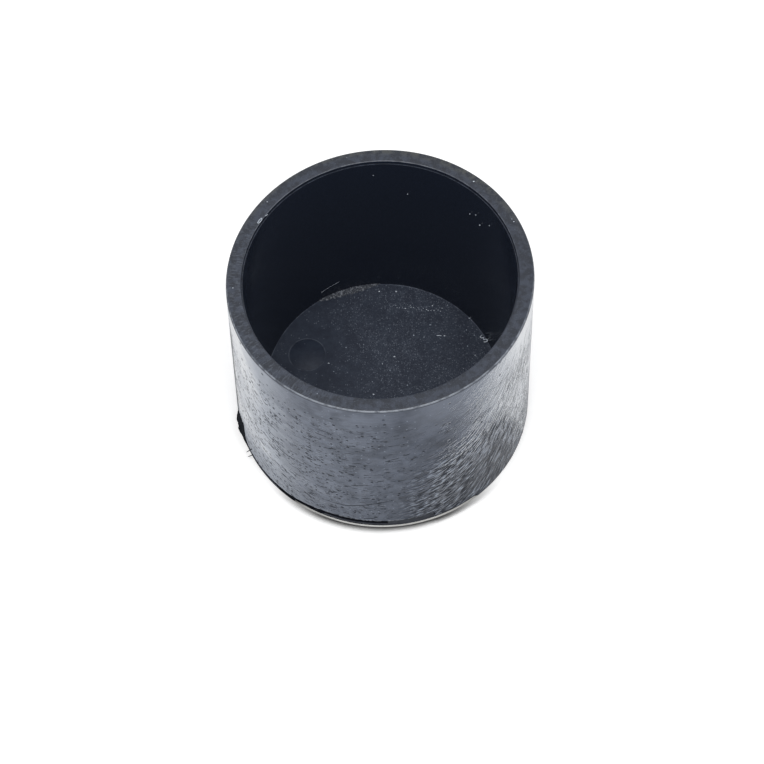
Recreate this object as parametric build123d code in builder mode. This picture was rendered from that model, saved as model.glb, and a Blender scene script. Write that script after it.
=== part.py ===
from build123d import *
from math import cos, radians, sin, tan
import os

# End cap for a round tube, moulded in one piece in soft black rubber. It is pushed over the
# end of the tube and holds by its own stretch. Millimetres. The cap stands on its closed end:
# the origin is the centre of the base, +Z runs up the bore and out of the mouth, -Y is the
# front. Angles are in degrees, counted from +X towards +Y.

# Bore, from the mouth down
bore_r = 19.0  # grips a tube of 38 mm
mouth_step = 0.15  # the mouth is this much wider than the bore all round
mouth_depth = 0.6
grip_length = 14.0  # the parallel stretch that holds the tube
taper_depth = 17.0  # below it the core of the mould narrowed towards the floor
taper_inset = 1.0

# Wall and floor
rim_wall = 2.1
floor_thickness = 3.4
outer_draft = 2.2  # the outside widens towards the closed end

# Edges
rim_outer_round = 0.3
rim_inner_round = 0.15
base_round = 0.25

# Scar round the foot of the wall, where the flash was torn off the parting line
scar_start = 187.0
scar_end = 308.0
scar_step_at = 289.0  # from here on the scar is lower
scar_foot = 0.3
scar_height = 1.8
scar_low_height = 1.1
scar_ledge = 0.2  # width of the lip's flat top, at the scar's foot
scar_depth = 0.3
scar_root_drop = 0.25  # how far below the scar's top edge it is deepest
flash_root = 0.6  # how deep the flash that is left is rooted in the wall

# Flash that stayed on: a strip sunk in the scar, and a torn flap standing up the wall
strip_end = 271.0
strip_rise = 0.45  # from the scar's foot to the strip
strip_height = 0.45
strip_sunk = 0.1  # the strip's face lies this far inside the wall's
flap_angle = 194.0
flap_thickness = 0.3
flap_torn_edge = [  # along the wall and up from the scar's foot
    (-2.8, 1.3),
    (-2.2, 2.2),
    (-1.6, 2.8),
    (-1.0, 4.1),
    (-0.3, 4.9),
    (0.4, 5.1),
    (1.1, 5.6),
    (1.8, 5.3),
    (2.4, 5.6),
    (2.8, 4.9),
    (3.0, 2.4),
    (3.6, 0.9),
]

# Round mark of an ejector pin, sunk in the floor
pin_mark_r = 2.75
pin_mark_depth = 0.1
pin_mark_from_axis = 12.8
pin_mark_angle = 155.0

# Rough skin left raised on the floor, against the wall
skin_start = 90.0
skin_end = 124.0
skin_width = 1.3
skin_thickness = 0.12

# Gate under the base, in a dimple that keeps it off the ground
dimple_r = 3.0
dimple_depth = 0.5
gate_r = 0.8
gate_clearance = 0.15

# Worked out from the sizes above
mouth_r = bore_r + mouth_step
rim_r = mouth_r + rim_wall
floor_r = bore_r - taper_inset
grip_foot = floor_thickness + taper_depth
mouth_foot = grip_foot + grip_length
height = mouth_foot + mouth_depth


def wall_r(z):
    """Outside radius of the wall at height z."""
    return rim_r + (height - z) * tan(radians(outer_draft))


def radial_plane(angle):
    """Upright plane through the axis: its x runs outwards at the angle, its y runs up."""
    outwards = (cos(radians(angle)), sin(radians(angle)), 0)
    return Plane(origin=(0, 0, 0), x_dir=outwards, z_dir=(outwards[1], -outwards[0], 0))


def facing_plane(angle):
    """Upright plane through the axis that faces outwards at the angle."""
    outwards = (cos(radians(angle)), sin(radians(angle)), 0)
    return Plane(origin=(0, 0, 0), x_dir=(-outwards[1], outwards[0], 0), z_dir=outwards)


def polar(radius, angle):
    return (radius * cos(radians(angle)), radius * sin(radians(angle)))


# The flap: a thin sleeve on the wall, kept only inside a torn outline
flap_top = scar_foot + max(rise for _, rise in flap_torn_edge)
with BuildPart() as flap:
    with BuildSketch(Plane.XZ):
        with BuildLine():
            Polyline(
                (wall_r(scar_foot) - flash_root, scar_foot),
                (wall_r(scar_foot) + flap_thickness, scar_foot),
                (wall_r(flap_top) + flap_thickness, flap_top),
                (wall_r(flap_top) - flash_root, flap_top),
                close=True,
            )
        make_face()
    revolve(axis=Axis.Z)
    with BuildSketch(facing_plane(flap_angle)):
        with BuildLine():
            Polyline(
                (flap_torn_edge[0][0], scar_foot),
                *[(along, scar_foot + rise) for along, rise in flap_torn_edge],
                (flap_torn_edge[-1][0], scar_foot),
                close=True,
            )
        make_face()
    extrude(amount=2 * wall_r(0), mode=Mode.INTERSECT)

with BuildPart() as end_cap:
    # Moulded section, turned about the axis of the bore
    with BuildSketch(Plane.XZ) as section:
        with BuildLine():
            Polyline(
                (0, 0),
                (wall_r(0), 0),
                (rim_r, height),
                (mouth_r, height),
                (mouth_r, mouth_foot),
                (bore_r, mouth_foot),
                (bore_r, grip_foot),
                (floor_r, floor_thickness),
                (0, floor_thickness),
                close=True,
            )
        make_face()
        rim_corners = section.vertices().group_by(Axis.Y)[-1].sort_by(Axis.X)
        base_corner = section.vertices().group_by(Axis.Y)[0].sort_by(Axis.X)[-1]
        fillet(rim_corners[0], rim_inner_round)
        fillet(rim_corners[-1], rim_outer_round)
        fillet(base_corner, base_round)
    revolve(axis=Axis.Z)

    # Scar of the torn flash: deepest under its top edge, with a flat lip at its foot
    scar_runs = [(scar_start, scar_step_at, scar_height), (scar_step_at, scar_end, scar_low_height)]
    for run_start, run_end, run_height in scar_runs:
        scar_top = scar_foot + run_height
        root = scar_top - scar_root_drop
        with BuildSketch(radial_plane(run_start)):
            with BuildLine():
                Polyline(
                    (wall_r(scar_foot) - scar_ledge, scar_foot),
                    (wall_r(root) - scar_depth, root),
                    (wall_r(scar_top), scar_top),
                    (wall_r(scar_foot) + scar_depth, scar_top),
                    (wall_r(scar_foot) + scar_depth, scar_foot),
                    close=True,
                )
            make_face()
        revolve(axis=Axis.Z, revolution_arc=run_end - run_start, mode=Mode.SUBTRACT)

    # Strip of flash still in the scar
    strip_foot = scar_foot + strip_rise
    with BuildSketch(radial_plane(scar_start)):
        with BuildLine():
            Polyline(
                (wall_r(strip_foot) - flash_root, strip_foot),
                (wall_r(strip_foot) - strip_sunk, strip_foot),
                (wall_r(strip_foot) - strip_sunk, strip_foot + strip_height),
                (wall_r(strip_foot) - flash_root, strip_foot + strip_height),
                close=True,
            )
        make_face()
    revolve(axis=Axis.Z, revolution_arc=strip_end - scar_start)

    add(flap.part)

    # Ejector pin's mark in the floor
    with BuildSketch(Plane.XY.offset(floor_thickness)):
        with Locations(polar(pin_mark_from_axis, pin_mark_angle)):
            Circle(pin_mark_r)
    extrude(amount=-pin_mark_depth, mode=Mode.SUBTRACT)

    # Rough skin on the floor: a lens between the wall and a flatter arc
    skin_root_r = floor_r + taper_inset / 2
    skin_middle = (skin_start + skin_end) / 2
    with BuildSketch(Plane.XY.offset(floor_thickness)):
        with BuildLine():
            ThreePointArc(
                polar(skin_root_r, skin_start),
                polar(skin_root_r, skin_middle),
                polar(skin_root_r, skin_end),
            )
            ThreePointArc(
                polar(skin_root_r, skin_end),
                polar(floor_r - skin_width, skin_middle),
                polar(skin_root_r, skin_start),
            )
        make_face()
    extrude(amount=skin_thickness)

    # Gate, snapped off short in its dimple
    with BuildSketch():
        Circle(dimple_r)
    extrude(amount=dimple_depth, mode=Mode.SUBTRACT)
    with BuildSketch(Plane.XY.offset(gate_clearance)):
        Circle(gate_r)
    extrude(amount=dimple_depth - gate_clearance)

end_cap.part.label = "end_cap"

os.makedirs("parts", exist_ok=True)
export_step(end_cap.part, "parts/end_cap.step")
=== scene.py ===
import math
import random
from functools import reduce

import bmesh
import bpy
from mathutils import Matrix, Vector, noise


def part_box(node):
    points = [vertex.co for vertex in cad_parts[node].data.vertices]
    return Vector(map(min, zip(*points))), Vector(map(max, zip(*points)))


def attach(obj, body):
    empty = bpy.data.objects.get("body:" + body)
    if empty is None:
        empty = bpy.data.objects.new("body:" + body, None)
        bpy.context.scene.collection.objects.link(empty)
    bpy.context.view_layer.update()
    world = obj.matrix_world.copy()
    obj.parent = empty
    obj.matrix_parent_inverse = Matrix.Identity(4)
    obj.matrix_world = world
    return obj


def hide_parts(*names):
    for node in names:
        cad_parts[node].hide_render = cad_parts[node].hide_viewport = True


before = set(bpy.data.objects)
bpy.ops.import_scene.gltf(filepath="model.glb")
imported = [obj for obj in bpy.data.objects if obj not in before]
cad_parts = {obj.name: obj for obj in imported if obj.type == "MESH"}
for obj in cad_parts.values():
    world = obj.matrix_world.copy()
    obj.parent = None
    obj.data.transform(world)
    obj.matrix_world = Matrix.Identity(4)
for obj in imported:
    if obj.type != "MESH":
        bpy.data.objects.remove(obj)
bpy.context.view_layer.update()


# --- Cap body -------------------------------------------------------------------------
# The moulding itself, in soft black rubber with a blue cast: a drafted wall, a bore that
# grips the tube, a thick floor, a dimpled gate under the base. The mouth is a little oval.

mm = 0.001
cap_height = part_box("end_cap")[1].z
out_of_round = 0.0124

# Bore, wall and floor
rim_radius = 21.25 * mm
mouth_radius, mouth_foot = 19.15 * mm, 34.4 * mm
bore_radius, grip_foot = 19.0 * mm, 20.4 * mm
floor_radius, floor_height = 18.0 * mm, 3.4 * mm
outer_draft = math.radians(2.2)
rim_inner_round, rim_outer_round, base_round = 0.15 * mm, 0.3 * mm, 0.25 * mm
wall_steps = 720
foot_rows_top, rim_rows_foot = 2.4 * mm, 31 * mm

# Gate in its dimple under the base, and the ejector pin's mark in the floor
dimple_radius, dimple_depth = 3.0 * mm, 0.5 * mm
gate_radius, gate_clearance = 0.8 * mm, 0.15 * mm
pin_radius, pin_from_axis, pin_turn = 2.75 * mm, 12.8 * mm, 155

# Scar of the torn flash round the foot of the wall, and the flash that stayed in it
scar_start, scar_step_at, scar_end = 187.0, 289.0, 308.0
scar_foot, scar_depth, scar_root_drop = 0.3 * mm, 0.3 * mm, 0.25 * mm
scar_ledge, ledge_start, ledge_sweep = 0.2 * mm, 224, 14
scar_undercut = 0.45 * mm
strip_end = 271.0


def wall_radius(z):
    return rim_radius + (cap_height - z) * math.tan(outer_draft)


def round_the_axis(radius, degrees, z):
    turn = math.radians(degrees)
    return Vector((radius * math.cos(turn), radius * math.sin(turn), z))


def turn_of(point):
    return math.degrees(math.atan2(point.y, point.x)) % 360


def clamp(value):
    return min(1.0, max(0.0, value))


def move_outwards(vertex, share):
    """Moves a vertex away from the axis by a share of its distance from it."""
    vertex.co.x *= 1 + share
    vertex.co.y *= 1 + share


def squeeze(mesh):
    """Gives a mesh the mouth's slight oval, which fades towards the base."""
    for v in mesh.verts:
        around = math.sin(2 * math.atan2(v.co.y, v.co.x))
        move_outwards(v, out_of_round * around * max(0.0, v.co.z / cap_height))


body = bmesh.new()
section = [
    (floor_radius, floor_height), (bore_radius, grip_foot), (bore_radius, mouth_foot),
    (mouth_radius, mouth_foot), (mouth_radius, cap_height), (rim_radius, cap_height),
    (wall_radius(rim_rows_foot), rim_rows_foot), (wall_radius(foot_rows_top), foot_rows_top),
    (wall_radius(scar_foot), scar_foot), (wall_radius(0), 0), (dimple_radius, 0),
    (dimple_radius, dimple_depth), (gate_radius, dimple_depth), (gate_radius, gate_clearance),
]
corners = [body.verts.new((r, 0, z)) for r, z in section]
runs = [body.edges.new(pair) for pair in zip(corners, corners[1:])]
# rows across the rim, below it, up the wall and, closer together, round the scar
for run, cuts in ((runs[4], 3), (runs[5], 6), (runs[6], 60), (runs[7], 25)):
    bmesh.ops.subdivide_edges(body, edges=[run], cuts=cuts)
for (r, z), size, pieces in (
    (section[4], rim_inner_round, 4), (section[5], rim_outer_round, 5), (section[9], base_round, 3),
):
    corner = min(body.verts, key=lambda v: (v.co - Vector((r, 0, z))).length)
    bmesh.ops.bevel(
        body, geom=[corner], offset=size, offset_type="OFFSET", segments=pieces, profile=0.5,
        affect="VERTICES", material=-1,
    )
bmesh.ops.spin(
    body, geom=body.verts[:] + body.edges[:], cent=(0, 0, 0), axis=(0, 0, 1),
    angle=math.tau, steps=wall_steps, use_merge=True,
)


def open_ring(radius, z):
    """The open edges of the spun section at a radius and a height."""
    return [
        e for e in body.edges
        if e.is_boundary and all(
            abs(v.co.z - z) < 1e-6 and abs(math.hypot(v.co.x, v.co.y) - radius) < 1e-5
            for v in e.verts
        )
    ]


# Floor with the round mark of an ejector pin, sunk a little, and the end of the gate
pin_mark = bmesh.ops.create_circle(
    body, cap_ends=False, segments=96, radius=pin_radius,
    matrix=Matrix.Translation(round_the_axis(pin_from_axis, pin_turn, floor_height)),
)["verts"]
pin_edges = [e for e in body.edges if e.verts[0] in pin_mark and e.verts[1] in pin_mark]
floor_edges = open_ring(floor_radius, floor_height) + pin_edges
bmesh.ops.triangle_fill(body, use_beauty=True, edges=floor_edges)
bmesh.ops.edgenet_fill(body, edges=open_ring(gate_radius, gate_clearance))
pin_centre = round_the_axis(pin_from_axis, pin_turn, 0)
for inwards, down in ((0.0, 0.09), (0.07, 0.09), (0.12, 0.06)):
    turned = bmesh.ops.extrude_edge_only(body, edges=pin_edges)["geom"]
    pin_edges = [e for e in turned if isinstance(e, bmesh.types.BMEdge)]
    for v in (v for v in turned if isinstance(v, bmesh.types.BMVert)):
        spoke = (v.co - pin_centre).xy.normalized()
        v.co = pin_centre + Vector((*spoke, 0)) * (pin_radius - inwards * mm)
        v.co.z = floor_height - down * mm
bmesh.ops.edgenet_fill(body, edges=pin_edges)
bmesh.ops.recalc_face_normals(body, faces=body.faces[:])

# The rub marks run level at the front and climb towards both sides, more steeply on the
# right: their slope, by degrees from the front
rub_slope = {
    -180: 0.0, -120: -0.9, -60: -0.45, -20: 0.0, 5: 0.2,
    28: 0.5, 50: 1.5, 75: 1.7, 120: 0.6, 180: 0.0,
}
rub_turns = sorted(rub_slope)
rub_climb = [0.0]
per_degree = math.radians(1) * 22 * mm
for turn in range(-180, 180):
    after = next(t for t in rub_turns if t > turn)
    before = rub_turns[rub_turns.index(after) - 1]
    share = (turn + 0.5 - before) / (after - before)
    slope = rub_slope[before] * (1 - share) + rub_slope[after] * share
    rub_climb.append(rub_climb[-1] + slope * per_degree)


def rub_height(turn):
    """Height gained by a rub mark from the back round to this many degrees from the front."""
    step = min(359, max(0, int(turn + 180)))
    share = turn + 180 - step
    gained = rub_climb[step] * (1 - share) + rub_climb[step + 1] * share
    return gained - rub_climb[-1] * clamp((turn - 100) / 80)


def tear_height(degrees):
    """Height of the scar above its foot: low under the flap, then growing, then stepping down."""
    places = (
        (scar_start, 0.95), (212, 0.95), (223, 1.05), (231, 1.15), (238, 1.55), (246, 1.95),
        (scar_step_at, 2.0), (scar_step_at, 0.95), (scar_end, 0.85),
    )
    for (d0, h0), (d1, h1) in zip(places, places[1:]):
        if d0 <= degrees < d1:
            return (h0 + (h1 - h0) * (degrees - d0) / (d1 - d0)) * mm
    return 0.0


def tear_depth(degrees, z):
    """Depth of the scar where the flash was torn off: a narrow ledge at its foot, then up
    to its root, and out again over a short undercut."""
    if not scar_start < degrees < scar_end:
        return 0.0
    ragged = noise.noise(Vector((degrees * 0.9, 3.1, 0))) * 0.10 * mm
    ragged += noise.noise(Vector((degrees * 3.1, 8.7, 0))) * 0.05 * mm
    top = scar_foot + tear_height(degrees) + ragged
    if not scar_foot < z < top:
        return 0.0
    root = max(top - scar_root_drop, scar_foot + 0.1 * mm)
    ledge = scar_ledge * clamp((degrees - ledge_start) / ledge_sweep)
    depth = ledge * min(1.0, (z - scar_foot) / (0.06 * mm))
    depth += (scar_depth - ledge) * min(1.0, (z - scar_foot) / (root - scar_foot))
    depth += 0.03 * mm * noise.noise(Vector((degrees * 1.5, z * 2600, 0)))
    at_ends = min(1.0, degrees - scar_start, scar_end - degrees)
    return depth * min(1.0, (top - z) / scar_root_drop) * at_ends


# The scar, and shallow waves along the rub marks in the sound wall
across = body.verts.layers.float.new("rub_across")
wave_foot, wave_top = 0.2 * mm, 33.5 * mm
for v in body.verts:
    x, y, z = v.co
    radius = math.hypot(x, y)
    v[across] = z - rub_height(math.degrees(math.atan2(x, -y)))
    if z < wave_foot or z > wave_top or radius < wall_radius(z) - 0.02 * mm:
        continue
    inset = tear_depth(turn_of(v.co), z)
    if not inset:
        wave = noise.noise(Vector((v[across] * 900, x * 160, y * 160)))
        wave += 0.5 * noise.noise(Vector((v[across] * 2100, x * 330, y * 330 + 5)))
        inset = -0.012 * mm * wave * min(1.0, (wave_top - z) / (4 * mm))
    move_outwards(v, -inset / radius)

# Which finish each part of the skin has
WALL, RIM, EDGE, BORE, FLOOR, TORN, LAND, LIP, BASE = range(9)
lip_top, scar_band_top, lip_from = 0.38 * mm, 2.2 * mm, 233
for f in body.faces:
    f.smooth = True
    c = f.calc_center_median()
    radius, degrees = math.hypot(c.x, c.y), turn_of(c)
    in_scar = scar_start < degrees < scar_end and c.z < scar_band_top
    scar_top = scar_foot + tear_height(degrees)
    if c.z < 0.6 * mm and radius < wall_radius(0) - 0.35 * mm:
        f.material_index = BASE
    elif abs(c.z - floor_height) < 0.2 * mm and radius < floor_radius:
        f.material_index = FLOOR
    elif abs(c.z - mouth_foot) < 0.01 * mm and radius < mouth_radius:
        f.material_index = RIM
    elif radius < mouth_radius + 0.01 * mm:
        f.material_index = BORE
    elif c.z > cap_height - 0.01 * mm:
        f.material_index = RIM
    elif c.z > cap_height - rim_outer_round:
        f.material_index = EDGE
    elif in_scar and 0.02 * mm < c.z < lip_top:
        f.material_index = LIP if degrees > lip_from else TORN
    elif in_scar and c.z > lip_top and radius < wall_radius(c.z) - 0.06 * mm:
        above_land = degrees < strip_end or c.z > scar_top - scar_undercut
        f.material_index = TORN if above_land else LAND
    else:
        f.material_index = WALL
squeeze(body)


def finish_piece(mesh, name, finishes, sharp=32):
    """Makes an object of a finished bmesh, with its materials."""
    data = bpy.data.meshes.new(name)
    mesh.to_mesh(data)
    mesh.free()
    data.set_sharp_from_angle(angle=math.radians(sharp))
    for finish in finishes:
        data.materials.append(finish)
    piece = bpy.data.objects.new(name, data)
    bpy.context.scene.collection.objects.link(piece)
    return piece


# Its skin is glossy where the polished core shaped it, dull at the rim and on the floor,
# rubbed outside and painted there with highlights, shade and a sheen, and black where it was
# torn. These tones are shared
BLACK_RUBBER = (0.018, 0.024, 0.040, 1)
PALE_RUBBER = (0.15, 0.175, 0.22, 1)
DUST = (0.52, 0.59, 0.70, 1)


def set_or_link(tree, socket, value):
    """Links a node's output to a socket, or sets the socket to a plain value."""
    if isinstance(value, bpy.types.NodeSocket):
        tree.links.new(value, socket)
    else:
        socket.default_value = value


def put(tree, kind, settings=None, **sockets):
    """Adds a node; a socket is given by its name, or by its number as s0, s1..."""
    made = tree.nodes.new("ShaderNode" + kind)
    for name, value in (settings or {}).items():
        setattr(made, name, value)
    for name, value in sockets.items():
        key = int(name[1:]) if name[1:].isdigit() else name.replace("_", " ")
        set_or_link(tree, made.inputs[key], value)
    return made


def calc(tree, operation, *values):
    """A Math node's result."""
    sockets = {f"s{n}": value for n, value in enumerate(values)}
    return put(tree, "Math", {"operation": operation}, **sockets).outputs[0]


def times(tree, *values):
    return reduce(lambda left, right: calc(tree, "MULTIPLY", left, right), values)


def total(tree, *values):
    return reduce(lambda left, right: calc(tree, "ADD", left, right), values)


def most(tree, *values):
    """The greatest of the values."""
    return reduce(lambda left, right: calc(tree, "MAXIMUM", left, right), values)


def ramp(tree, value, low, high, to_low=0.0, to_high=1.0, kind="SMOOTHSTEP"):
    """Value between low and high, carried smoothly to the other pair."""
    return put(
        tree, "MapRange", {"interpolation_type": kind},
        Value=value, From_Min=low, From_Max=high, To_Min=to_low, To_Max=to_high,
    ).outputs[0]


def tint(tree, amount, colour, over):
    """Mixes a colour over another by an amount."""
    return put(tree, "Mix", {"data_type": "RGBA"}, s0=amount, s6=over, s7=colour).outputs[2]


def clouds(tree, vector, size, detail=2.0, roughness=0.5):
    """Noise whose features are about this size, in metres; size 1 leaves the vector as it is."""
    return put(
        tree, "TexNoise", Vector=vector, Scale=1 / size, Detail=detail, Roughness=roughness,
    ).outputs[0]


def object_space(tree):
    """A point's place on the piece, and its X, Y and Z."""
    where = put(tree, "TexCoord").outputs["Object"]
    return where, *put(tree, "SeparateXYZ", s0=where).outputs


def flat_space(tree, x, y):
    """A point's place seen from above, and its distance from the axis."""
    flat = put(tree, "CombineXYZ", s0=x, s1=y).outputs[0]
    return flat, put(tree, "VectorMath", {"operation": "LENGTH"}, s0=flat).outputs["Value"]


def group(name, takes, gives):
    """A shader node group with named number sockets."""
    made = bpy.data.node_groups.new(name, "ShaderNodeTree")
    for label, default in takes:
        socket = made.interface.new_socket(
            label, in_out="INPUT", socket_type="NodeSocketFloat",
        )
        socket.default_value = default
    for label in gives:
        made.interface.new_socket(label, in_out="OUTPUT", socket_type="NodeSocketFloat")
    return made, made.nodes.new("NodeGroupInput").outputs, made.nodes.new("NodeGroupOutput").inputs


def place(tree, shared, **values):
    """Puts a shared group in a material, with its own values."""
    made = tree.nodes.new("ShaderNodeGroup")
    made.node_tree = shared
    for name, value in values.items():
        set_or_link(tree, made.inputs[name], value)
    return made.outputs


# Grain: the fine, even roughness that the mould leaves on soft rubber
grain, takes, gives = group("rubber_grain", [("Size", 0.3 * mm)], ["Height", "Mottle"])
where = put(grain, "TexCoord").outputs["Object"]
per_grain = calc(grain, "DIVIDE", 1.0, takes["Size"])
for give, scale in (("Height", per_grain), ("Mottle", times(grain, per_grain, 0.12))):
    pattern = put(grain, "TexNoise", Vector=where, Scale=scale, Detail=3.0, Roughness=0.6)
    grain.links.new(pattern.outputs[0], gives[give])

# Dust: loose specks, each in its own cell, of uneven size and brightness, many cells empty
dust, takes, gives = group(
    "dust_specks", [("Spacing", 0.9 * mm), ("Speck", 0.16), ("Share", 0.6)], ["Mask"],
)
where = put(dust, "TexCoord").outputs["Object"]
per_cell = calc(dust, "DIVIDE", 1.0, takes["Spacing"])
cells = put(dust, "TexVoronoi", Vector=where, Scale=per_cell).outputs
by_kept, by_size, by_bright = put(dust, "SeparateColor", s0=cells["Color"]).outputs
radius = times(dust, takes["Speck"], ramp(dust, by_size, 0.0, 1.0, 0.45, 1.0))
speck = calc(dust, "LESS_THAN", cells["Distance"], radius)
kept = calc(dust, "LESS_THAN", by_kept, takes["Share"])
dust.links.new(times(dust, speck, kept, ramp(dust, by_bright, 0.0, 1.0, 0.3, 1.0)), gives["Mask"])


def rubber(name, roughness, specular=0.5, coat=0.0, coat_roughness=0.3):
    """A rubber material with its plain sockets set; the section that uses it paints it."""
    made = bpy.data.materials.new(name)
    made.use_nodes = True
    tree = made.node_tree
    shader = tree.nodes["Principled BSDF"]
    shader.inputs["Base Color"].default_value = BLACK_RUBBER
    shader.inputs["Roughness"].default_value = roughness
    shader.inputs["Specular IOR Level"].default_value = specular
    shader.inputs["Coat Weight"].default_value = coat
    shader.inputs["Coat Roughness"].default_value = coat_roughness
    return made, tree, shader.inputs


def relief(tree, skin, height, distance):
    bump = put(tree, "Bump", Height=height, Distance=distance).outputs[0]
    tree.links.new(bump, skin["Normal"])
    return bump


# Outside wall: a mottled grey on the black rubber, partly standing in for reflected light and
# darker towards the foot as painted shade; rub marks that stand out most low on the right, with
# painted highlights and painted shade on them; fine pits on the left, painted dark as shade; and
# a painted sheen, paler wherever the wall is seen at a glancing angle
WALL_BLACK = (0.028, 0.036, 0.054, 1)
WALL_GREY = (0.112, 0.132, 0.178, 1)
PALER_TONE = (0.205, 0.232, 0.290, 1)
THIN_PAINTED_SHEEN = (0.45, 0.485, 0.550, 1)
PAINTED_SHEEN = (0.90, 0.92, 0.95, 1)
PAINTED_SHADE = (0.010, 0.014, 0.024, 1)
RUB_AND_HIGHLIGHT = (0.42, 0.48, 0.58, 1)
wall_finish, tree, skin = rubber("rubbed_wall", 0.45, specular=0.15, coat_roughness=0.24)
where, x, y, z = object_space(tree)
rub_across = put(tree, "Attribute", {"attribute_name": "rub_across"}).outputs["Fac"]


def rub_marks(fine, coarse, shift=0.0, detail=2.0):
    """Noise drawn out along the rub marks: fine across them and coarse along them, in mm."""
    along = put(
        tree, "CombineXYZ",
        s0=times(tree, rub_across, 1 / (fine * mm)),
        s1=times(tree, x, 1 / (coarse * mm)),
        s2=calc(tree, "MULTIPLY_ADD", y, 1 / (coarse * mm), shift),
    ).outputs[0]
    return clouds(tree, along, 1, detail)


def between(value, low, high):
    """1 where a value lies between two others, with soft ends."""
    return times(tree, ramp(tree, value, low, low + 0.02), ramp(tree, value, high, high - 0.02))


# where on the wall things happen
patches = clouds(tree, where, 7 * mm)
mottle = clouds(tree, where, 2.0 * mm)
to_right = ramp(tree, x, -2 * mm, 13 * mm)
to_left = ramp(tree, x, 6 * mm, -6 * mm)
below_rim = ramp(tree, z, 33.5 * mm, 24 * mm)
in_front = ramp(tree, y, 12 * mm, -6 * mm, 0.3, 1.0)
at_right = ramp(tree, y, 16 * mm, 2 * mm, 0.3, 1.0)
behind_front = times(tree, most(tree, total(tree, y, 14 * mm), 0.0), 2.6)
worn = times(tree, to_right, ramp(tree, total(tree, z, behind_front), 27 * mm, 6 * mm))

# folds, long and mostly on the right: each a crest painted pale as a highlight, with a crease
# painted dark as shade beside it
folds = rub_marks(0.46, 1.15, detail=1.0)
low_right = times(
    tree, ramp(tree, x, 13 * mm, 18 * mm), ramp(tree, z, 17 * mm, 6 * mm), at_right, 0.6,
)
creased = most(tree, ramp(tree, worn, 0.05, 0.5), low_right)
right_side = times(tree, ramp(tree, x, 13 * mm, 19 * mm, 0.0, 0.45), below_rim, at_right)
folded = most(tree, creased, right_side)
lit_fold_crests = times(tree, ramp(tree, folds, 0.58, 0.64), folded, 0.85)
shaded_fold_creases = times(tree, ramp(tree, folds, 0.45, 0.40), creased)

# curls, short and curved: among the pits, in patches below the rim, and along the foot; each
# a crest painted pale as a highlight and a crease painted dark as shade
curls = rub_marks(0.85, 1.5, 53.0, 1.0)
pit_clusters = ramp(tree, clouds(tree, where, 3 * mm, 1.0), 0.38, 0.58, 0.2, 1.0)
pitted = times(tree, to_left, in_front, ramp(tree, z, 34 * mm, 27 * mm), pit_clusters)
curled = most(
    tree, times(tree, pitted, 0.35),
    times(tree, below_rim, ramp(tree, patches, 0.45, 0.6, 0.0, 0.35)),
    ramp(tree, z, 15 * mm, 4 * mm, 0.0, 0.45),
)
crest_highlight_at_left = ramp(tree, x, 3 * mm, -5 * mm, 0.1, 0.35)
lit_curl_crests = times(tree, between(curls, 0.50, 0.56), curled, crest_highlight_at_left)
shaded_curl_creases = times(tree, between(curls, 0.45, 0.50), curled, 0.6)

# gouges: painted dark as shade in the cut, each with a side painted pale as a highlight on the
# left of the wall
gouges = total(tree, rub_marks(0.34, 1.7, 37.0), times(tree, worn, 0.06))
shaded_gouge_cuts = times(tree, ramp(tree, gouges, 0.63, 0.67), below_rim, in_front)
gouge_highlight_at_left = ramp(tree, x, 0.0, -8 * mm, 0.0, 0.25)
lit_gouge_sides = times(tree, between(gouges, 0.58, 0.63), below_rim, gouge_highlight_at_left)

lit_rubs = most(tree, lit_fold_crests, lit_curl_crests, lit_gouge_sides)
shaded_rubs = most(tree, shaded_fold_creases, shaded_curl_creases, shaded_gouge_cuts)
fine_rubs = rub_marks(0.34, 2.4, 71.0)

# pits: round, in clusters, on the left, painted dark as shade; a few pale flecks with them
wall_middle_radius = 22.4 * mm
turn = times(tree, calc(tree, "ARCTAN2", x, times(tree, y, -1.0)), 180 / math.pi)
round_the_wall = times(tree, turn, math.radians(1) * wall_middle_radius)
unrolled = put(tree, "CombineXYZ", s0=round_the_wall, s1=z).outputs[0]


def dots(spacing, size, share):
    """Round dots, each in its own cell of the unrolled wall, some fainter than others."""
    cells = put(
        tree, "TexVoronoi", {"voronoi_dimensions": "2D"},
        Vector=unrolled, Scale=1 / (spacing * mm),
    ).outputs
    chance = put(tree, "SeparateColor", s0=cells["Color"]).outputs
    dot = ramp(tree, cells["Distance"], size * 1.3 / spacing, size * 0.7 / spacing)
    kept = calc(tree, "LESS_THAN", chance[0], share)
    return times(tree, dot, kept, ramp(tree, chance[1], 0.0, 1.0, 0.4, 1.0))


large_pits = dots(1.9, 0.20, most(tree, pitted, 0.12))
small_pits = dots(0.95, 0.15, times(tree, pitted, 0.7))
pits = most(tree, large_pits, small_pits)
flecks = dots(1.1, 0.11, most(tree, pitted, 0.22))

# one long scratch, low on the front, level up to its bend and climbing from there, painted dark
# as shade in its groove
scratch_bend, scratch_foot, climb_per_degree = -14.5, 6.3 * mm, 0.155 * mm
past_bend = most(tree, total(tree, turn, -scratch_bend), 0.0)
scratch_height = calc(tree, "MULTIPLY_ADD", past_bend, climb_per_degree, scratch_foot)
off_scratch = calc(tree, "ABSOLUTE", calc(tree, "SUBTRACT", z, scratch_height))
scratch = times(
    tree, ramp(tree, off_scratch, 0.16 * mm, 0.05 * mm),
    ramp(tree, turn, -24.0, -21.0), ramp(tree, turn, 3.0, -1.0),
    ramp(tree, mottle, 0.35, 0.5, 0.4, 1.0),
)
# all the dark marks: painted shade in the creases, gouges, pits and the scratch
dark = most(tree, shaded_rubs, pits, scratch)

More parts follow.
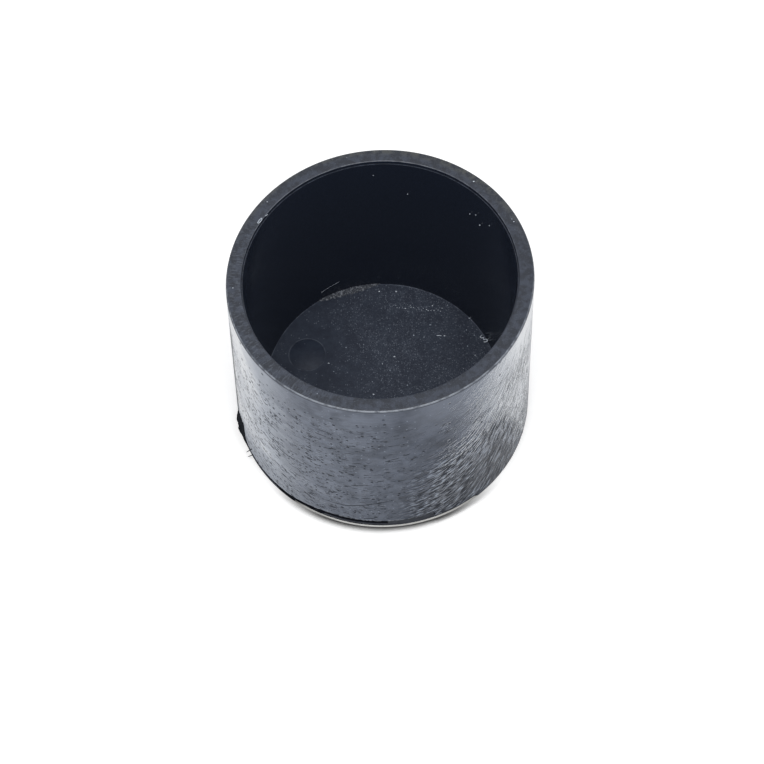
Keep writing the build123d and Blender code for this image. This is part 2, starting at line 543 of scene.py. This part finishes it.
# relief: folds and the marks painted as highlights stand up, the marks painted as shade are cut
# in, all on a fine grain
grain_of = place(tree, grain, Size=0.3 * mm)
raised = total(
    tree, times(tree, folds, ramp(tree, folded, 0.0, 1.0, 0.15, 3.0)),
    times(tree, grain_of["Height"], 0.22), times(tree, fine_rubs, 0.12),
    times(tree, lit_rubs, 0.6),
)
height = calc(tree, "SUBTRACT", raised, times(tree, dark, 1.2))
bump = relief(tree, skin, height, 0.13 * mm)

# a thin coat shines on the worn part; a painted sheen goes into the colour wherever the wall is
# seen at a glancing angle, least low on the left and on the worn part
coat = times(tree, ramp(tree, dark, 0.0, 1.0, 1.0, 0.0), ramp(tree, worn, 0.0, 1.0, 0.05, 0.42))
tree.links.new(coat, skin["Coat Weight"])
shaded = ramp(tree, mottle, 0.36, 0.64)
smooth_facing = put(tree, "LayerWeight", s0=0.5).outputs["Facing"]
rough_facing = put(tree, "LayerWeight", s0=0.5, s1=bump).outputs["Facing"]
roughened = calc(tree, "SUBTRACT", rough_facing, smooth_facing)
far_right = ramp(tree, to_right, 0.55, 1.0, 0.12, 1.0)
glancing = calc(tree, "MULTIPLY_ADD", roughened, far_right, smooth_facing)
raised_at_right = ramp(tree, x, -12 * mm, 0.0, 0.0, 12 * mm)
least_painted_sheen = ramp(tree, x, -18.5 * mm, -14.5 * mm, 0.5, 0.78)
low_left = ramp(tree, total(tree, z, raised_at_right), 2 * mm, 11 * mm, least_painted_sheen, 1.0)
painted_sheen = times(
    tree, low_left, ramp(tree, glancing, 0.57, 0.85, 0.0, 0.95),
    ramp(tree, to_right, 0.0, 1.0, 1.0, 1.5), calc(tree, "SUBTRACT", 1.0, worn),
    ramp(tree, patches, 0.38, 0.62, 0.84, 1.1), ramp(tree, shaded, 0.0, 1.0, 0.93, 1.0),
)

# the left is painted paler as a sheen, and the wall is paler under the rim at the right
painted_sheen_at_left = times(
    tree, ramp(tree, x, 6 * mm, -9 * mm), ramp(tree, patches, 0.36, 0.64, 0.45, 0.75),
    ramp(tree, shaded, 0.0, 1.0, 0.75, 1.1), ramp(tree, fine_rubs, 0.36, 0.64, 0.85, 1.1),
)
paler_under_rim = times(
    tree, ramp(tree, x, 1 * mm, 8 * mm), ramp(tree, x, 17 * mm, 9 * mm),
    ramp(tree, z, 24 * mm, 33 * mm), 0.6,
)

# the colour, from the rubber up: grey, darker towards the foot as painted shade; the paler tone;
# the painted sheen; the painted highlights and pale flecks; the painted shade
greyed = calc(tree, "MULTIPLY_ADD", shaded, 0.35, times(tree, ramp(tree, patches, 0.35, 0.65), 0.3))
for pattern, low, high, share in (
    (grain_of["Height"], 0.35, 0.65, 0.08), (fine_rubs, 0.36, 0.64, 0.20),
):
    greyed = calc(tree, "MULTIPLY_ADD", ramp(tree, pattern, low, high), share, greyed)
# darker towards the foot: painted shade
greyed = times(tree, greyed, ramp(tree, z, 0.0, 16 * mm, 0.45, 1.0))
colour = tint(tree, greyed, WALL_GREY, WALL_BLACK)
colour = tint(tree, most(tree, painted_sheen_at_left, paler_under_rim), PALER_TONE, colour)
colour = tint(tree, ramp(tree, painted_sheen, 0.0, 0.5, kind="LINEAR"), THIN_PAINTED_SHEEN, colour)
colour = tint(tree, ramp(tree, painted_sheen, 0.5, 1.0, kind="LINEAR"), PAINTED_SHEEN, colour)
# painted highlights on the crests of the rub marks, and the pale flecks
rubbed_and_lit = times(tree, lit_rubs, ramp(tree, creased, 0.0, 1.0, 0.45, 0.62))
colour = tint(tree, most(tree, rubbed_and_lit, times(tree, flecks, 0.4)), RUB_AND_HIGHLIGHT, colour)
# a line of painted shade along the silhouette on the left, where the wall is seen edge-on
painted_outline_shade = times(
    tree, ramp(tree, smooth_facing, 0.925, 0.955), to_left, ramp(tree, z, 32 * mm, 27 * mm),
)
# the dark marks and the silhouette line, painted in as shade
cut = most(tree, times(tree, dark, 0.95), times(tree, painted_outline_shade, 0.8))
tree.links.new(tint(tree, cut, PAINTED_SHADE, colour), skin["Base Color"])
tree.links.new(ramp(tree, fine_rubs, 0.3, 0.7, 0.40, 0.52), skin["Roughness"])

# Rim: cut flush by the mould, mottled, scratched across on the left, with a trace of olive
# bloom along its outside at the back
RIM_BLACK = (0.008, 0.012, 0.022, 1)
RIM_GREY = (0.039, 0.049, 0.074, 1)
OLIVE_BLOOM = (0.075, 0.073, 0.048, 1)
rim_finish, tree, skin = rubber("rim_skin", 0.5)
where, x, y, _ = object_space(tree)
_, from_axis = flat_space(tree, x, y)
around = calc(tree, "ARCTAN2", x, times(tree, y, -1.0))
scratch_space = put(
    tree, "CombineXYZ", s0=times(tree, around, 75.0), s1=times(tree, from_axis, 900.0),
).outputs[0]
scratches = times(
    tree, ramp(tree, clouds(tree, scratch_space, 1, 3.0, 0.7), 0.5, 0.66),
    ramp(tree, x, 4 * mm, -17 * mm), ramp(tree, y, 13 * mm, 4 * mm),
)
grain_of = place(tree, grain, Size=0.2 * mm)
specks = place(tree, dust, Spacing=1.5 * mm, Speck=0.06, Share=0.5)
mottle = clouds(tree, where, 1.1 * mm, 4.0, 0.65)
olive = times(
    tree, ramp(tree, y, 2 * mm, 15 * mm), ramp(tree, from_axis, 20.0 * mm, 21.0 * mm),
    ramp(tree, mottle, 0.4, 0.6, 0.0, 0.45),
)
colour = tint(tree, ramp(tree, mottle, 0.40, 0.62, 0.0, 0.7), RIM_GREY, RIM_BLACK)
colour = tint(tree, ramp(tree, grain_of["Height"], 0.55, 0.72, 0.0, 0.28), PALE_RUBBER, colour)
colour = tint(tree, olive, OLIVE_BLOOM, colour)
colour = tint(tree, times(tree, scratches, 0.28), PALE_RUBBER, colour)
colour = tint(tree, times(tree, specks["Mask"], 0.8), DUST, colour)
tree.links.new(colour, skin["Base Color"])
height = total(tree, grain_of["Height"], times(tree, scratches, 0.6))
relief(tree, skin, height, 0.03 * mm)

# The mouth's two rounded edges are painted pale as a highlight, with a coat on it: the outer at
# the front, the inner at the back
EDGE_HIGHLIGHT = (0.26, 0.29, 0.34, 1)
edge_finish, tree, skin = rubber("edge_painted_highlight", 0.4, coat_roughness=0.25)
where, x, y, z = object_space(tree)
_, from_axis = flat_space(tree, x, y)
outer = calc(tree, "GREATER_THAN", from_axis, 20 * mm)
outer_highlight = times(
    tree, outer, ramp(tree, y, 6 * mm, -10 * mm), ramp(tree, z, 34.78 * mm, 34.88 * mm),
)
inner = calc(tree, "SUBTRACT", 1.0, outer)
inner_highlight = times(tree, inner, ramp(tree, y, -2 * mm, 9 * mm, 0.0, 0.5))
uneven = ramp(tree, clouds(tree, where, 0.9 * mm, 3.0), 0.35, 0.62, 0.2, 0.8)
# how much painted highlight each edge carries, uneven along it
rub = times(tree, total(tree, outer_highlight, inner_highlight), uneven)
tree.links.new(tint(tree, rub, EDGE_HIGHLIGHT, BLACK_RUBBER), skin["Base Color"])
tree.links.new(times(tree, rub, 0.7), skin["Coat Weight"])

# Bore: glossy, from the polished core
BORE_BLACK = (0.0135, 0.0190, 0.0340, 1)
bore_finish, tree, skin = rubber("bore_skin", 0.22)
specks = place(tree, dust, Spacing=3.2 * mm, Speck=0.03, Share=0.4)
tree.links.new(tint(tree, specks["Mask"], PALE_RUBBER, BORE_BLACK), skin["Base Color"])
relief(tree, skin, place(tree, grain, Size=0.8 * mm)["Height"], 0.01 * mm)

# Floor: dull, with loose dust and threads of it, least of all round the pin mark on the left;
# the corner under the wall and the edge of the mark carry a thin painted highlight
FLOOR_BLACK = (0.013, 0.019, 0.036, 1)
FLOOR_GREY = (0.022, 0.031, 0.052, 1)
FLOOR_DUST = (0.047, 0.056, 0.080, 1)
THREAD = (0.10, 0.115, 0.15, 1)
floor_finish, tree, skin = rubber("dusty_floor", 0.62, specular=0.4)
where, x, y, _ = object_space(tree)
flat, from_axis = flat_space(tree, x, y)
from_pin = put(
    tree, "VectorMath", {"operation": "DISTANCE"}, s0=flat, s1=pin_centre,
).outputs["Value"]
grain_of = place(tree, grain, Size=0.2 * mm)
mottle = clouds(tree, where, 2.2 * mm, 4.0, 0.65)
drifts = ramp(tree, clouds(tree, where, 4.5 * mm), 0.35, 0.65, -0.15, 0.3)
strewn = total(tree, ramp(tree, x, -12 * mm, 1 * mm, 0.0, 0.85), drifts)
off_pin = ramp(tree, from_pin, 2.4 * mm, 3.2 * mm, 0.2, 1.0)
dusty = times(tree, most(tree, strewn, 0.05), off_pin)
specks = place(tree, dust, Spacing=0.95 * mm, Speck=0.115, Share=times(tree, dusty, 0.45))
fine_specks = place(tree, dust, Spacing=0.30 * mm, Speck=0.36, Share=times(tree, dusty, 0.85))
off_thread = calc(tree, "SUBTRACT", clouds(tree, where, 0.75 * mm), 0.5)
threads = ramp(tree, calc(tree, "ABSOLUTE", off_thread), 0.025, 0.0)
pin_line_radius = 2.86 * mm
off_edge = calc(tree, "ABSOLUTE", calc(tree, "SUBTRACT", from_pin, pin_line_radius))
# thin painted highlights: round the edge of the pin mark, and in the corner under the wall
pin_edge_highlight = times(
    tree, ramp(tree, off_edge, 0.11 * mm, 0.04 * mm), ramp(tree, mottle, 0.42, 0.55, 0.05, 0.3),
)
corner = times(
    tree, ramp(tree, from_axis, 17.78 * mm, 17.92 * mm),
    ramp(tree, grain_of["Mottle"], 0.4, 0.6, 0.05, 0.4),
)
settled = times(tree, dusty, ramp(tree, grain_of["Height"], 0.4, 0.7), 0.75)
colour = tint(tree, ramp(tree, mottle, 0.35, 0.65), FLOOR_GREY, FLOOR_BLACK)
for amount, tone in (
    (settled, FLOOR_DUST), (times(tree, threads, dusty, 0.5), THREAD),
    (most(tree, pin_edge_highlight, corner), PALE_RUBBER),
    (times(tree, fine_specks["Mask"], 0.30), DUST), (times(tree, specks["Mask"], 0.9), DUST),
):
    colour = tint(tree, amount, tone, colour)
tree.links.new(colour, skin["Base Color"])
relief(tree, skin, total(tree, grain_of["Height"], specks["Mask"]), 0.03 * mm)

# Torn rubber: dull black, uneven
TORN_BLACK = (0.005, 0.0065, 0.010, 1)
torn_finish, tree, skin = rubber("torn_rubber", 0.9, specular=0.05)
grain_of = place(tree, grain, Size=0.12 * mm)
rubbed_and_lit = ramp(tree, grain_of["Mottle"], 0.5, 0.75, 0.0, 0.4)
tree.links.new(tint(tree, rubbed_and_lit, BLACK_RUBBER, TORN_BLACK), skin["Base Color"])
relief(tree, skin, grain_of["Height"], 0.08 * mm)

# Land under the scar's undercut, smoother than the rest of the scar
LAND_BLACK = (0.018, 0.022, 0.032, 1)
LAND_GREY = (0.042, 0.048, 0.062, 1)
land_finish, tree, skin = rubber("scar_land", 0.5, specular=0.3)
mottle = ramp(tree, place(tree, grain, Size=0.3 * mm)["Mottle"], 0.3, 0.7)
tree.links.new(tint(tree, mottle, LAND_GREY, LAND_BLACK), skin["Base Color"])
relief(tree, skin, place(tree, grain, Size=0.2 * mm)["Height"], 0.02 * mm)

# Lip at the scar's foot: glossy and painted pale as a highlight, except at its left end, which is
# dark and less glossy
LIP_HIGHLIGHT = (0.32, 0.32, 0.31, 1)
LIP_DIM_HIGHLIGHT = (0.19, 0.19, 0.18, 1)
LIP_DARK = (0.06, 0.06, 0.05, 1)
lip_finish, tree, skin = rubber("lip_painted_highlight", 0.3, coat=1.0)
_, x, _, _ = object_space(tree)
at_left = ramp(tree, x, -11.8 * mm, -14.0 * mm)
mottle = ramp(tree, place(tree, grain, Size=0.4 * mm)["Mottle"], 0.35, 0.65)
colour = tint(tree, mottle, LIP_HIGHLIGHT, LIP_DIM_HIGHLIGHT)
colour = tint(tree, times(tree, at_left, 0.85), LIP_DARK, colour)
tree.links.new(calc(tree, "SUBTRACT", 1.0, times(tree, at_left, 0.8)), skin["Coat Weight"])
tree.links.new(colour, skin["Base Color"])

# Base: dull, scuffed by the ground
SCUFFED_GREY = (0.07, 0.078, 0.09, 1)
base_finish, tree, skin = rubber("scuffed_base", 0.6)
grain_of = place(tree, grain, Size=0.4 * mm)
scuffs = ramp(tree, grain_of["Mottle"], 0.3, 0.7)
tree.links.new(tint(tree, scuffs, SCUFFED_GREY, BLACK_RUBBER), skin["Base Color"])
relief(tree, skin, grain_of["Height"], 0.03 * mm)

cap_body = finish_piece(body, "cap_body", [
    wall_finish, rim_finish, edge_finish, bore_finish, floor_finish,
    torn_finish, land_finish, lip_finish, base_finish,
])
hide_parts("end_cap")
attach(cap_body, "root")


# --- Torn flash -----------------------------------------------------------------------
# What is left of the thin rubber that seeped into the mould's parting line: a strip in the
# scar, a ragged flap standing up the wall on the left, and two hairs. All one with the cap.

# The strip: out from the wall and up from the base, in mm, torn a little along its length
strip_start = scar_start + 0.5
strip_section = (
    (-0.45, 0.66), (-0.16, 0.68), (-0.12, 0.76), (-0.12, 0.94), (-0.16, 1.04), (-0.45, 1.06),
)
strip_middle = 0.9 * mm
smooth_from, smooth_ragged = 243, 8
strip = bmesh.new()
corners = [
    strip.verts.new((wall_radius(z * mm) + out * mm, 0, z * mm)) for out, z in strip_section
]
for pair in zip(corners, corners[1:] + corners[:1]):
    strip.edges.new(pair)
bmesh.ops.rotate(
    strip, verts=strip.verts, cent=(0, 0, 0),
    matrix=Matrix.Rotation(math.radians(strip_start), 3, "Z"),
)
bmesh.ops.spin(
    strip, geom=strip.verts[:] + strip.edges[:], cent=(0, 0, 0), axis=(0, 0, 1),
    angle=math.radians(strip_end - strip_start), steps=340, use_merge=False,
)
bmesh.ops.holes_fill(strip, edges=[e for e in strip.edges if e.is_boundary], sides=8)
for v in strip.verts:
    degrees, radius, z = turn_of(v.co), math.hypot(v.co.x, v.co.y), v.co.z
    torn = noise.noise(Vector((degrees * 1.3, 1.7, z * 900)))
    torn += 0.6 * noise.noise(Vector((degrees * 4.1, 5.2, z * 1500)))
    if radius > wall_radius(z) - 0.2 * mm:
        move_outwards(v, 0.04 * mm * torn / radius)
        v.co.z += 0.05 * mm * (torn if z > strip_middle else -torn)
bmesh.ops.recalc_face_normals(strip, faces=strip.faces[:])
squeeze(strip)
for f in strip.faces:
    f.smooth = True
    c = f.calc_center_median()
    smooth = turn_of(c) > smooth_from + smooth_ragged * noise.noise(c * 700)
    f.material_index = 1 if smooth else 0
flash_strip = finish_piece(strip, "flash_strip", [torn_finish, land_finish], 40)
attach(flash_strip, "root")


def thicken(sheet, outwards, thickness):
    """Turns an open sheet's faces outwards and gives it its thickness on their inner side."""
    bmesh.ops.recalc_face_normals(sheet, faces=sheet.faces[:])
    if sum(f.normal.dot(outwards(f)) for f in sheet.faces) < 0:
        bmesh.ops.reverse_faces(sheet, faces=sheet.faces[:])
    bmesh.ops.solidify(sheet, geom=sheet.faces[:], thickness=-thickness)
    for f in sheet.faces:
        f.smooth = True


# The flap's torn edge: along the wall and up from the scar's foot, in mm. Its skin swells
# in the middle, where it is ragged, and stands off the wall at its foot
flap_turn, flap_start, flap_length = 194, -2.8, 6.4
flap_torn_edge = (
    (-2.8, 0.1), (-2.1, 0.3), (-1.8, 1.9), (-1.0, 3.7), (-0.3, 4.8), (0.4, 5.2), (1.1, 5.6),
    (1.8, 5.2), (2.4, 5.6), (2.6, 4.9), (2.7, 2.3), (3.2, 1.5), (3.6, 0.9),
)
flap = bmesh.new()
bmesh.ops.create_grid(flap, x_segments=96, y_segments=32, size=0.5)
for v in flap.verts:
    along = flap_start + (v.co.x + 0.5) * flap_length
    up = v.co.y + 0.5
    after = next(n for n, (a, _) in enumerate(flap_torn_edge) if n and a >= along - 1e-6)
    (a0, h0), (a1, h1) = flap_torn_edge[after - 1], flap_torn_edge[after]
    top = h0 + (h1 - h0) * (along - a0) / (a1 - a0)
    frayed = 0.4 * noise.noise(Vector((along * 3.0, 2.2, 0)))
    frayed += 0.4 * noise.noise(Vector((along * 9.0, 4.4, 0)))
    top += min(1.0, top) * frayed
    z = scar_foot + up * top * mm
    belly = clamp((along + 2.0) / 0.8) * clamp(1.6 - along)
    out = -0.12 + 0.22 * belly * (1 - max(0.0, 2 * up - 1))
    out += 0.12 * clamp(3.2 - along) * (1 - up)
    out += 0.20 * noise.noise(Vector((along * 2.6, z * 1100, 3.3))) * belly * (1.05 - up)
    turn = flap_turn + math.degrees(along * mm / wall_radius(0))
    v.co = round_the_axis(wall_radius(z) + out * mm, turn, z)
thicken(flap, lambda f: f.calc_center_median(), 0.15 * mm)
squeeze(flap)
flash_flap = finish_piece(flap, "flash_flap", [torn_finish], 40)
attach(flash_flap, "root")


def thread(name, thickness, places, finish, tip=1.0):
    """A round thread of rubber through places given as radius, degrees and height, in mm."""
    line = bpy.data.curves.new(name, "CURVE")
    line.dimensions = "3D"
    line.bevel_depth = thickness * mm
    line.bevel_resolution = 2
    line.use_fill_caps = True
    curved = len(places) > 2
    spline = line.splines.new("NURBS" if curved else "POLY")
    spline.points.add(len(places) - 1)
    for point, (r, degrees, z) in zip(spline.points, places):
        point.co = (*round_the_axis(r * mm, degrees, z * mm), 1)
    spline.points[-1].radius = tip
    if curved:
        spline.order_u = 3
        spline.use_endpoint_u = True
    line.materials.append(finish)
    piece = bpy.data.objects.new(name, line)
    bpy.context.scene.collection.objects.link(piece)
    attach(piece, "root")


hairs = {
    "flash_hair_1": (
        (22.40, 207.4, 2.7), (22.80, 206.9, 2.2), (23.10, 206.2, 1.5), (23.25, 205.9, 1.2),
    ),
    "flash_hair_2": (
        (22.45, 208.6, 1.6), (22.80, 208.0, 1.2), (23.10, 207.5, 0.8), (23.30, 207.0, 0.5),
    ),
}
for name, places in hairs.items():
    thread(name, 0.065, places, torn_finish, tip=0.4)


# --- Skin and crumbs ------------------------------------------------------------------
# A rough skin of spilt rubber left on the floor against the wall, and loose rubber that the
# trimming left: a loop and a nick on the mouth's edge, a curl and fibres inside, and dust.

# The skin: a lens between the wall and a ragged edge, highest at the wall
SKIN_PALE = (0.27, 0.29, 0.33, 1)
SKIN_BLACK = (0.030, 0.036, 0.050, 1)
skin_finish, tree, skin = rubber("rough_skin", 0.6)
where = put(tree, "TexCoord").outputs["Object"]
grain_of = place(tree, grain, Size=0.16 * mm)
flakes = ramp(tree, clouds(tree, where, 0.5 * mm, 3.0, 0.7), 0.46, 0.60)
flaked = times(tree, flakes, ramp(tree, grain_of["Height"], 0.35, 0.6, 0.35, 1.0))
tree.links.new(tint(tree, flaked, SKIN_PALE, SKIN_BLACK), skin["Base Color"])
relief(tree, skin, total(tree, flakes, grain_of["Height"]), 0.08 * mm)

skin_start, skin_sweep, skin_width = 90, 34, 1.15
skin_root_radius = 18.05
spill = bmesh.new()
bmesh.ops.create_grid(spill, x_segments=96, y_segments=8, size=0.5)
for v in spill.verts:
    degrees = skin_start + (v.co.x + 0.5) * skin_sweep
    inwards = v.co.y + 0.5
    reach = skin_width * math.sin(math.pi * (degrees - skin_start) / skin_sweep) ** 0.8
    ragged = 0.2 * noise.noise(Vector((degrees * 0.55, 6.1, 0)))
    ragged += 0.3 * noise.noise(Vector((degrees * 1.9, 9.3, 0)))
    reach *= 1 + ragged
    rise = 0.10 * (1 - inwards)
    rise += 0.06 * noise.noise(Vector((degrees * 1.4, inwards * 4, 0)))
    z = floor_height + max(-0.02, rise * (1 - inwards ** 3)) * mm
    v.co = round_the_axis((skin_root_radius - inwards * reach) * mm, degrees, z)
thicken(spill, lambda f: Vector((0, 0, 1)), 0.05 * mm)
floor_skin = finish_piece(spill, "floor_skin", [skin_finish], 50)
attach(floor_skin, "root")

CRUMB_PALE = (0.72, 0.79, 0.88, 1)
CRUMB_GREY = (0.40, 0.45, 0.54, 1)
crumb_finish, tree, skin = rubber("pale_crumb", 0.5, coat=1.0, coat_roughness=0.2)
mottle = place(tree, grain, Size=0.1 * mm)["Mottle"]
tree.links.new(tint(tree, mottle, CRUMB_PALE, CRUMB_GREY), skin["Base Color"])
# each crumb: its thickness and its places
crumbs = {
    "mouth_loop": (0.05, (
        (19.15, 152.2, 35.02), (19.00, 151.2, 35.06), (18.98, 150.0, 35.10), (19.10, 149.2, 35.08),
        (19.24, 149.9, 35.04), (19.30, 151.2, 35.04), (19.25, 152.3, 35.03),
    )),
    "mouth_nick": (0.04, ((18.95, 147.5, 34.95), (18.86, 146.8, 34.98), (18.80, 146.2, 34.9))),
    "floor_curl": (0.085, (
        (17.7, 27.4, 3.6), (17.2, 26.8, 3.9), (17.3, 25.9, 3.6), (17.7, 25.4, 3.9),
        (17.4, 24.6, 3.6), (17.9, 24.0, 3.9), (18.0, 23.2, 3.7), (17.6, 22.9, 3.6),
        (17.4, 23.6, 3.6),
    )),
    "floor_fibre": (0.055, ((12.0, 44.0, 3.44), (12.5, 41.5, 3.46))),
    "floor_fibre_end": (0.07, ((12.75, 40.3, 3.45), (12.9, 39.6, 3.45))),
    "wall_fibre": (0.012, (
        (18.07, 121.0, 5.3), (18.07, 118.0, 5.6), (18.09, 114.5, 5.75), (18.10, 111.0, 6.1),
    )),
}
for name, (thickness, places) in crumbs.items():
    thread(name, thickness, places, crumb_finish)

# Loose grains of dust that lie singly on the floor and the rim and cling to the bore: radius,
# degrees, height and size, in mm. A trail of small ones lies on the floor at the back
grains = [
    (9.1, 155.4, 3.45, 0.12), (3.5, 89.0, 3.45, 0.10), (5.1, 67.7, 3.45, 0.14),
    (2.3, 232.0, 3.45, 0.14), (15.2, 17.9, 3.45, 0.10), (16.7, 81.5, 3.45, 0.14),
    (16.6, 90.7, 3.45, 0.12), (17.9, 39.2, 3.5, 0.13), (12.4, 255.0, 3.45, 0.14),
    (10.6, 301.0, 3.45, 0.11), (18.96, 46.2, 29.2, 0.08), (18.96, 42.8, 30.1, 0.08),
    (18.96, 40.0, 28.5, 0.10), (18.96, 34.0, 30.7, 0.07), (18.96, 92.1, 31.8, 0.07),
    (18.96, 77.0, 27.6, 0.07), (20.4, 48.4, 35.05, 0.12), (20.6, 23.8, 35.05, 0.09),
    (20.3, 184.5, 35.05, 0.08), (20.1, 141.5, 35.05, 0.08),
]
trail_grains, trail_start, trail_length = 22, 1.8, 8.0
random.seed(7)
for n in range(trail_grains):
    x = trail_start + trail_length * (n + random.random()) / trail_grains
    y = 13.7 + random.gauss(0, 0.28) - 0.04 * n
    turn = math.degrees(math.atan2(y, x))
    grains.append((math.hypot(x, y), turn, 3.44, random.uniform(0.04, 0.11)))
dust_grains = bmesh.new()
for r, degrees, z, size in grains:
    lies_at = Matrix.Translation(round_the_axis(r * mm, degrees, z * mm))
    bmesh.ops.create_icosphere(
        dust_grains, subdivisions=1, radius=size * mm,
        matrix=lies_at @ Matrix.Diagonal((1.2, 0.8, 0.7, 1)),
    )
dust_grains = finish_piece(dust_grains, "dust_grains", [crumb_finish])
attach(dust_grains, "root")


# --- Studio ---------------------------------------------------------------------------
# A plain white table with a painted contact shadow where the cap's foot meets it, mostly at the
# front, a softbox above and a little in front, and pale light all round.

# The table is lit plainly, glows a little to the camera so that it looks white, and hardly at
# all in reflections
top = bmesh.new()
bmesh.ops.create_grid(top, x_segments=1, y_segments=1, size=3.0)
white = bpy.data.materials.new("white_table")
white.use_nodes = True
tree = white.node_tree
tree.nodes.clear()
rays = put(tree, "LightPath").outputs
_, _, y, _ = object_space(tree)
# a contact shadow painted into the table's colour and glow, by how closed in each point is, mostly
# in front of the cap
open_sky = put(tree, "AmbientOcclusion", {"samples": 8}, Distance=1.5 * mm).outputs["AO"]
open_sky = calc(tree, "POWER", ramp(tree, open_sky, 0.62, 0.93, kind="LINEAR"), 1.8)
at_front = ramp(tree, y, -14 * mm, -21.5 * mm, 0.06, 1.0)
painted_contact_shadow = times(tree, calc(tree, "SUBTRACT", 1.0, open_sky), at_front, 0.94)
clear_of_painted_shadow = calc(tree, "SUBTRACT", 1.0, painted_contact_shadow)
lit = put(tree, "BsdfDiffuse", Color=times(tree, clear_of_painted_shadow, 0.95)).outputs[0]
mirrored = most(tree, rays["Is Glossy Ray"], rays["Is Transmission Ray"])
share = total(tree, times(tree, rays["Is Camera Ray"], 0.34), times(tree, mirrored, 0.08))
glow = put(
    tree, "Emission", Color=(1, 1, 1, 1), Strength=times(tree, share, clear_of_painted_shadow),
).outputs[0]
put(tree, "OutputMaterial", Surface=put(tree, "AddShader", s0=lit, s1=glow).outputs[0])
table_top = finish_piece(top, "table_top", [white])

# The air is white where it is seen or mirrored, and lights the cap at about half of that
world = bpy.data.worlds.new("studio_air")
bpy.context.scene.world = world
world.use_nodes = True
tree = world.node_tree
tree.nodes.clear()
rays = put(tree, "LightPath").outputs
mirrored = most(tree, rays["Is Glossy Ray"], rays["Is Transmission Ray"])
seen = most(tree, rays["Is Camera Ray"], mirrored)
strength = ramp(tree, seen, 0.0, 1.0, 0.54, 1.0, "LINEAR")
air = put(tree, "Background", Color=(1, 1, 1, 1), Strength=strength).outputs[0]
put(tree, "OutputWorld", Surface=air)

softbox = bpy.data.lights.new("softbox", "AREA")
softbox.shape = "RECTANGLE"
softbox.size, softbox.size_y = 0.5, 0.34
softbox.energy = 2.3
softbox_place = bpy.data.objects.new("softbox", softbox)
bpy.context.scene.collection.objects.link(softbox_place)
softbox_place.location = (0.0, -0.18, 0.6)
softbox_place.rotation_euler = (math.radians(-17), 0, 0)

view = bpy.data.cameras.new("camera")
view.sensor_width = 36
view.lens = 80.40
view.shift_x, view.shift_y = -0.0007, 0.0006
view.clip_start = 0.01
camera = bpy.data.objects.new("camera", view)
bpy.context.scene.collection.objects.link(camera)
camera.location = (0.0, -124.284 * mm, 234.826 * mm)
camera.rotation_euler = [math.radians(a) for a in (28.276, 0.560, -1.050)]
bpy.context.scene.camera = camera
bpy.context.scene.view_settings.view_transform = "Standard"
